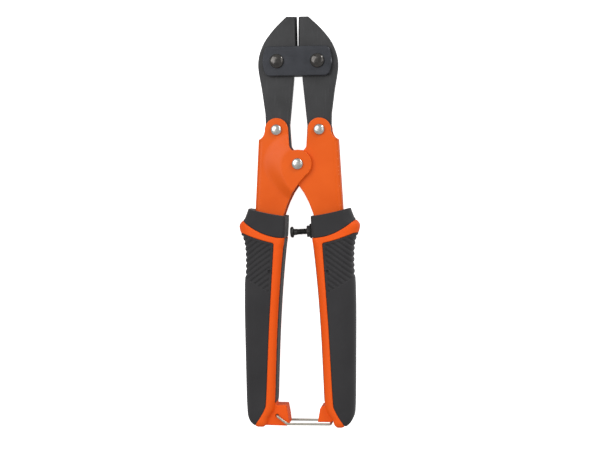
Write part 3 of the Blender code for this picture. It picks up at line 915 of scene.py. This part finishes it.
def grip_solid(side, inset, top):
    """The whole grip from the top down to its end, drawn in by the inset."""
    bottom = END_Y + inset
    steps = math.ceil((top - bottom) / SECTION_SPACING)
    levels = [top + (bottom - top) * step / steps for step in range(steps + 1)]
    sections = [turned_side(grip_section(y, inset), side) for y in levels]
    stations = [[[(x, y, z) for x, z in section]] for y, section in zip(levels, sections)]
    return skinned("grip", stations, [[sections[0]], [sections[-1]]])


def region(side, outline, half_height=THROUGH):
    """A cutter with this outline, which goes right through unless it has a half height."""
    return prism("region", turned_side(outline, side), -half_height, half_height)


def edge_y(shape, x):
    """Where a cross edge of the grip lies at x. It rises toward the outer side."""
    base, rise, power = shape
    across = max(0.0, min(1.0, (x - SWEEP_START) / SWEEP_SPAN))
    return base + rise * across**power


def sweep_edge(shape):
    """A cross edge of the grip, from its inner side out."""
    edge = [(SWEEP_INNER_X, shape[0])]
    for step in range(SWEEP_STEPS + 1):
        x = SWEEP_START + SWEEP_LENGTH * step / SWEEP_STEPS
        edge.append((x, edge_y(shape, x)))
    return edge


# Where the panel's upper edge meets its border
PANEL_CORNER_X = 13.0


def panel_region(clearance):
    """Where the ribbed panel lies: outside the stripe's border and below the orange band."""
    border = smooth([(24.4, -137), (22.8, -133.6), (20.3, -129.7), (18.2, -125.8), (17.35, -121.5),
                     (16.3, -101), (15.2, -80), (12.6, PANEL_TOP[0] + 0.2)], 8)
    top = [point for point in sweep_edge(PANEL_TOP) if point[0] > PANEL_CORNER_X]
    outline = [*border, *top, (36, -34), (36, -137)]
    return [(x - clearance, y + clearance) for x, y in outline]


def strip_region(clearance):
    """Where the inner strip lies, below the collar."""
    top = COLLAR_LOWER[0] - 0.5 + clearance
    foot = -122.6 - clearance
    return [(2, top), (11.0, top), (11.6, -54), (14.0, -90), (15.5, foot), (2, foot)]


def collar_room(drop):
    """The cutter that clears the collar's place down to a little below its lower edge."""
    lower = [(x, y - drop) for x, y in sweep_edge(COLLAR_LOWER)]
    return [*lower, (40, -10), (2, -10)]


def collar_region():
    """The collar's outline, between its two cross edges."""
    return [*sweep_edge(COLLAR_LOWER), *reversed(sweep_edge(COLLAR_UPPER))]


def frame_room(gap):
    """The space that the handle frame takes inside the grip."""
    outer = [(24.8 + gap, -93), (22.4 + gap, -21.5), (22.4 + gap, -15)]
    inner = [(3, -15), (5.5 - gap, -20), (7.7 - gap, -26), (12 - gap, -38), (15.2 - gap, -93)]
    return outer + inner


def stop_axis():
    """The direction of the stop screw, from its head into the right handle."""
    return (math.cos(STOP_TILT), math.sin(STOP_TILT), 0)


def stop_point(x):
    """The point of the stop screw's axis at x."""
    return (x, STOP_Y + (x - STOP_X) * math.tan(STOP_TILT), 0)


def stop_bore():
    """The cutter that makes room for the stop screw inside the right grip."""
    room = [(0, 0), (STOP_ROOM_R, 0), (STOP_ROOM_R, STOP_ROOM_LENGTH), (0, STOP_ROOM_LENGTH)]
    return turned("bore", room, stop_point(STOP_ROOM_X), stop_axis(), 40)


# The end lugs: the left one holds the bail's wire, and the bail hooks below the right one
LUGS = {
    "left": [(7.2, -124.0), (17.6, -124.0), (20.5, -129), (20.5, -133.6), (18.6, -134.4), (7.0, -134.6),
             (5.8, -133.6), (6.3, -129)],
    "right": [(11.0, -124.2), (17.6, -124.2), (20.5, -129), (20.5, -132.5), (9.0, -132.5), (9.6, -129),
              (10.2, -125.6)],
}
CROSSBAR_ROOM = [(16.2, -137), (16.2, -131.9), (19.0, -131.75), (23.4, -131.3), (23.4, -137)]
WIRE_HOLE = 0.87


def crossbar_cutter(side):
    """The pocket in the right grip's end for the bail's crossbar."""
    return region(side, CROSSBAR_ROOM, BAIL_Z + WIRE_R + ROOM_GAP)


def build_grip_core(side):
    """The orange moulding: the band, the stripe along the inner side and the end lug."""
    core = grip_solid(side, 0, CORE_TOP)
    rooms = [region(side, collar_room(GAP)), region(side, panel_region(GAP))]
    rooms.append(region(side, strip_region(GAP), STRIP_HALF + GAP))
    carve(core, "DIFFERENCE", *rooms)
    carve(core, "UNION", grip_solid(side, SKIN + GAP, NECK_TOP), region(side, LUGS[side], LUG_HALF))
    carve(core, "DIFFERENCE", region(side, frame_room(ROOM_GAP), FORK_OUT + ROOM_GAP))
    if side == "left":
        carve(core, "DIFFERENCE", drill("hole", WIRE_HOLE, 8, (*BAIL_PIVOT, 0), 24))
    else:
        carve(core, "DIFFERENCE", stop_bore(), crossbar_cutter(side))
    core.name = side + "_grip_moulding"
    soften(core, MOULDED_SKIN)
    finish_piece(core, side + "_handle", "orange_plastic", side + "_grip_core")


def build_grip_collar(side):
    """The dark sleeve at the top of the grip, open for the handle frame."""
    collar = grip_solid(side, 0, COLLAR_TOP)
    carve(collar, "INTERSECT", region(side, collar_region()))
    inside = grip_solid(side, SKIN, NECK_TOP + 0.2)
    carve(collar, "DIFFERENCE", inside, region(side, frame_room(SLEEVE_GAP), FORK_OUT + SLEEVE_GAP))
    if side == "right":
        carve(collar, "DIFFERENCE", stop_bore())
    collar.name = side + "_collar_sleeve"
    soften(collar, SOFT_SKIN)
    finish_piece(collar, side + "_handle", "black_rubber", side + "_grip_collar")


# Ribs: their slope and spacing, how deep they go, and the sink of the whole ribbed zone
RIB_SLOPE = 0.727
RIB_SPACING = 2.9
RIB_DEPTH = 0.5
RIB_SINK = 0.12

# The ribbed zone: its plain border, the width of its flank, the end of its lowest rib, its inner side
RIB_BORDER = 0.9
RIB_FLANK = 0.5
RIB_END = (27.6, -58.6)
RIB_END_SLOPE = 0.576
RIB_INNER = [(-40, 12.6), (-80, 15.2), (-101, 16.3)]

# The x that outward is measured from, and how squarely a face has to look outward to take ribs
GRIP_MIDDLE_X = 17.5
OUTWARD = 0.3

# The small round mark beside the ribs
MARK_PLACE = (14.9, -54.8)
MARK_RADIUS = 0.75
MARK_DEPTH = 0.9


def rib_depth(across, y):
    """How deep the right panel's surface lies below its smooth level, for the ribbed zone."""
    upper = edge_y(PANEL_TOP, across) - RIB_BORDER
    lower = RIB_END[1] - RIB_END_SLOPE * (RIB_END[0] - across)
    border = along(RIB_INNER, y) + RIB_BORDER
    inside = min((upper - y) / RIB_FLANK, (y - lower) / RIB_FLANK, (across - border) / RIB_FLANK)
    if inside <= 0:
        return 0.0
    phase = (y + RIB_SLOPE * across) / RIB_SPACING
    wave = 0.5 - 0.5 * math.cos(2 * math.pi * phase)
    return min(1.0, inside) * (RIB_SINK + RIB_DEPTH * wave**2)


def build_grip_panel(side):
    """The dark soft panel that wraps the outer side, ribbed near the hand stop."""
    sign = SIDES[side]
    panel = grip_solid(side, 0, PAD_TOP)
    carve(panel, "INTERSECT", region(side, panel_region(0)))
    carve(panel, "DIFFERENCE", grip_solid(side, SKIN, NECK_TOP))
    if side == "right":
        carve(panel, "DIFFERENCE", crossbar_cutter(side))
    panel.name = side + "_soft_panel"
    soften(panel, SOFT_SKIN)
    middle_x = GRIP_MIDDLE_X * sign

    def press_ribs(x, y, z, normal):
        """Presses the ribs and the small mark into the outward faces."""
        out = Vector((x - middle_x, 0, z))
        if normal.dot(out) <= OUTWARD * out.length:
            return None
        depth = rib_depth(sign * x, y)
        if z > 0 and math.hypot(sign * x - MARK_PLACE[0], y - MARK_PLACE[1]) < MARK_RADIUS:
            depth = max(depth, MARK_DEPTH)
        return -depth * normal

    shift_vertices(panel.data, press_ribs)
    finish_piece(panel, side + "_handle", "black_rubber", side + "_grip_panel")


def build_grip_strip(side):
    """The dark strip along the inner side of the grip."""
    strip = grip_solid(side, 0, PAD_TOP)
    carve(strip, "INTERSECT", region(side, strip_region(0), STRIP_HALF))
    carve(strip, "DIFFERENCE", grip_solid(side, SKIN, NECK_TOP))
    strip.name = side + "_inner_pad"
    soften(strip, MOULDED_SKIN)
    finish_piece(strip, side + "_handle", "black_rubber", side + "_grip_inner_strip")


# Stop screw and latch


# The nut's hexagon and the bores of the nut and of the block
NUT_R = 3.35
NUT_BORE = 1.85
BLOCK_BORE = 1.8


def build_stop_screw():
    """The screw, with a mushroom head and a threaded shank."""
    length = STOP_END_X - STOP_HEAD_X
    head = [(0, 0), (1.6, 0.02), (2.3, 0.12), (2.7, 0.4), (2.85, 0.8), (2.85, 1.3), (2.7, 1.55), (2.0, 1.75),
            (1.7, 1.95), (SCREW_R, 2.3)]
    neck_end = 2.8
    plain_length = 3.2
    row_height = 0.1
    rows = round((length - neck_end) / row_height)
    shank = [(SCREW_R, neck_end + (length - plain_length) * step / rows) for step in range(rows + 1)]
    profile = [*head, *shank, (1.3, length), (0, length)]
    screw = turned("stop_screw_turned", profile, stop_point(STOP_HEAD_X), stop_axis(), 40, THREAD_PITCH)
    finish_piece(screw, "stop", "black_screw", "stop_screw", sharp=40)


def build_stop_nut():
    """The flanged hex nut, drawn along z and turned to the screw's axis."""
    hexagon = arc((0, 0), NUT_R, 30, 390, 6)[:-1]
    bore = circle((0, 0), NUT_BORE, 36)
    body = layered("stop_nut_turned", rounded_layers(hexagon, [bore], 0.0, 1.7, 0.22, 3))
    rim = [(NUT_BORE, 1.35), (3.6, 1.5), (3.8, 1.7), (3.8, 2.15), (3.65, 2.3), (NUT_BORE, 2.3)]
    flange = turned("flange", rim, (0, 0, 0))
    aim = Vector(stop_axis()).to_track_quat("Z", "Y").to_matrix().to_4x4()
    turn = Matrix.Translation(Vector(stop_point(STOP_NUT_X))) @ aim
    to_place = Matrix.Translation(PIVOT) @ Matrix.Scale(MM, 4)
    for part in (body, flange):
        part.data.transform(to_place @ turn @ to_place.inverted())
    carve(body, "UNION", flange)
    finish_piece(body, "right_handle", "black_screw", "stop_lock_nut", sharp=35)


def build_stop_block():
    """The threaded block inside the right handle."""
    profile = [(BLOCK_BORE, 0.2), (2.0, 0), (2.7, 0), (2.9, 0.2), (2.9, 4.8), (2.7, 5), (2.0, 5),
               (BLOCK_BORE, 4.8)]
    piece = turned("stop_insert", profile, stop_point(STOP_BLOCK_X), stop_axis(), 40)
    finish_piece(piece, "right_handle", "zinc_rivet", "stop_threaded_block", sharp=35)


def bend(a, corner, b, radius):
    """A round bend at a corner of a wire, from the run that comes from a to the run that goes to b."""
    steps = 10
    corner = Vector(corner)
    back = (Vector(a) - corner).normalized()
    ahead = (Vector(b) - corner).normalized()
    points = []
    for step in range(steps + 1):
        t = step / steps
        points.append(corner + radius * ((1 - t) ** 2 * back + t**2 * ahead))
    return points


def build_latch_bail():
    """The wire loop, from one bent end in the left lug round to the other."""
    corners = [(*BAIL_PIVOT, BAIL_TIP_Z), (*BAIL_PIVOT, BAIL_Z), (*BAIL_KNEE, BAIL_Z), (*BAIL_END, BAIL_Z)]
    corners += [(x, y, -z) for x, y, z in reversed(corners)]
    path = [corners[0]]
    for before, corner, after in zip(corners, corners[1:], corners[2:]):
        path += bend(before, corner, after, WIRE_BEND)
    path.append(corners[-1])
    piece = tube("bail_loop", path, WIRE_R, 24)
    finish_piece(piece, "bail", "bail_wire", "latch_bail", sharp=50)


# Camera, lights and floor

WHITE = (1, 1, 1, 1)
WORLD_STRENGTH = 0.5
FLOOR_GLOW = 0.9
FLOOR_HALF = 3.0

# Lamps: name, place, the point that it faces, width and height in metres, and watts
LAMPS = (
    ("softbox_left", (-0.6, 0.34, 0.92), (0, 0, 0), (0.75, 0.8), 6.0),
    ("softbox_right", (0.75, 0.25, 0.8), (0, 0, 0), (0.5, 0.7), 1.4),
    ("right_strip", (0.42, 0.46, 0.24), (0, 0.03, 0), (0.1, 0.3), 1.5),
)


def build_floor():
    """A glowing white floor, whose light doesn't fall on the tool."""
    bm = bmesh.new()
    bmesh.ops.create_grid(bm, x_segments=1, y_segments=1, size=FLOOR_HALF)
    mesh = bpy.data.meshes.new("floor")
    bm.to_mesh(mesh)
    bm.free()
    floor = as_object("floor", mesh)
    n = Nodes("floor_white", (0.93, 0.93, 0.93), 0.7, 0.0)
    n.shader.inputs["Specular IOR Level"].default_value = 0.1
    n.shader.inputs["Emission Color"].default_value = WHITE
    n.shader.inputs["Emission Strength"].default_value = FLOOR_GLOW
    mesh.materials.append(n.material)
    floor.visible_diffuse = False
    floor.visible_glossy = False


def area_light(name, place, target, size, power):
    data = bpy.data.lights.new(name, "AREA")
    data.shape = "RECTANGLE"
    data.size, data.size_y = size
    data.energy = power
    lamp = bpy.data.objects.new(name, data)
    lamp.location = place
    lamp.rotation_euler = (Vector(target) - Vector(place)).to_track_quat("-Z", "Y").to_euler()
    bpy.context.scene.collection.objects.link(lamp)


def build_lights():
    world = bpy.data.worlds.new("studio")
    world.use_nodes = True
    background = world.node_tree.nodes["Background"]
    background.inputs["Color"].default_value = WHITE
    background.inputs["Strength"].default_value = WORLD_STRENGTH
    bpy.context.scene.world = world
    for lamp in LAMPS:
        area_light(*lamp)
    bpy.context.scene.view_settings.view_transform = "Standard"


# Camera: its distance and the width that it sees there in metres, its angles, and where it looks
CAMERA_DISTANCE = 0.72
CAMERA_YAW = math.radians(7.2)
CAMERA_PITCH = math.radians(2.4)
CAMERA_ROLL = math.radians(0.56)
CAMERA_TARGET = (0.1, -31.45, 0)
FRAME_WIDTH = 0.3088
SENSOR_WIDTH = 36.0


def build_camera():
    """Looks down on the tool from a little to its right, with the jaws at the top."""
    data = bpy.data.cameras.new("camera")
    data.sensor_width = SENSOR_WIDTH
    data.lens = SENSOR_WIDTH * CAMERA_DISTANCE / FRAME_WIDTH
    camera = bpy.data.objects.new("camera", data)
    across = math.cos(CAMERA_PITCH)
    back = Vector((math.sin(CAMERA_YAW) * across, math.sin(CAMERA_PITCH), math.cos(CAMERA_YAW) * across))
    up = Vector((math.sin(CAMERA_ROLL) * math.cos(CAMERA_YAW), math.cos(CAMERA_ROLL), 0))
    right = up.cross(back).normalized()
    up = back.cross(right)
    turn = Matrix((right, up, back)).transposed().to_4x4()
    place = PIVOT + Vector(CAMERA_TARGET) * MM + back * CAMERA_DISTANCE
    camera.matrix_world = Matrix.Translation(place) @ turn
    bpy.context.scene.collection.objects.link(camera)
    bpy.context.scene.camera = camera


def build_tool():
    build_link_plates()
    build_rivets()
    build_spacer()
    build_spring()
    for side in SIDES:
        build_jaw(side)
        build_handle_frame(side)
        build_grip_core(side)
        build_grip_collar(side)
        build_grip_panel(side)
        build_grip_strip(side)
    build_stop_screw()
    build_stop_nut()
    build_stop_block()
    build_latch_bail()


build_camera()
build_floor()
build_lights()
build_tool()
